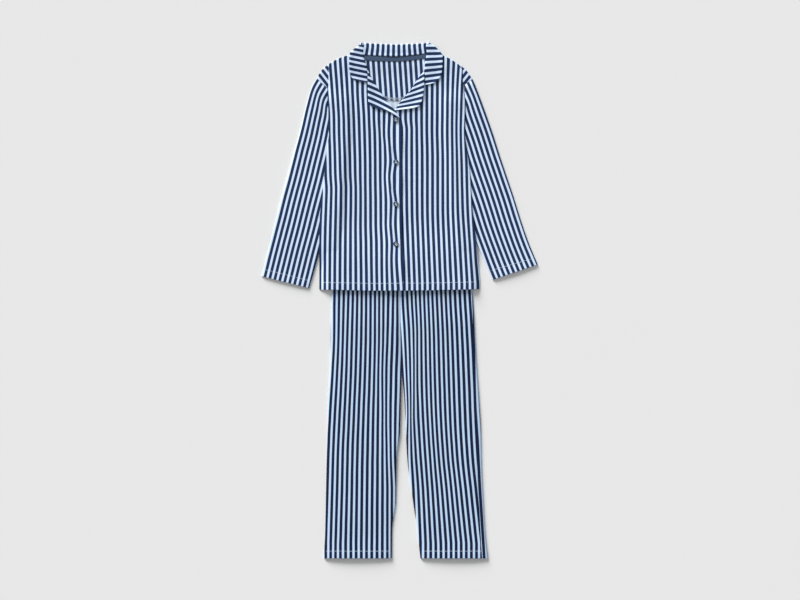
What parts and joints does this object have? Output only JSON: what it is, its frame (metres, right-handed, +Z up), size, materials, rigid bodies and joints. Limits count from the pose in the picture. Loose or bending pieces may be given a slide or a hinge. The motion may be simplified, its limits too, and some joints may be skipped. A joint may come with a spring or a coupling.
{
  "type": "pyjama set",
  "caption": "Child's striped pyjama set laid flat: open-collar buttoned top with long sleeves lying over the waist of straight-leg trousers.",
  "frame": {"origin": "middle of the footprint, on the surface it lies on", "axes": "+Y towards the collar, +X towards the wearer's left side, +Z up out of the cloth's face"},
  "size_m": [0.643, 1.2, 0.0112],
  "materials": {
    "top_stripe": "matte navy and pale blue striped cotton",
    "trouser_stripe": "matte navy and pale blue striped cotton",
    "collar_stripe": "matte navy and pale blue striped cotton, interfaced",
    "tape": "matte navy woven tape",
    "button": "satin navy"
  },
  "bodies": {
    "root": {"back": "top_stripe", "front_right": "top_stripe", "front_left": "top_stripe", "sleeve_right": "top_stripe", "sleeve_left": "top_stripe", "collar": "collar_stripe", "lapel_right": "collar_stripe", "lapel_left": "collar_stripe", "back_neck_facing": "collar_stripe", "neck_tape": "tape", "leg_front_right": "trouser_stripe", "leg_front_left": "trouser_stripe", "leg_back_right": "trouser_stripe", "leg_back_left": "trouser_stripe", "waistband": "trouser_stripe", "button_1": "button", "button_2": "button", "button_3": "button", "button_4": "button"}
  },
  "joints": []
}
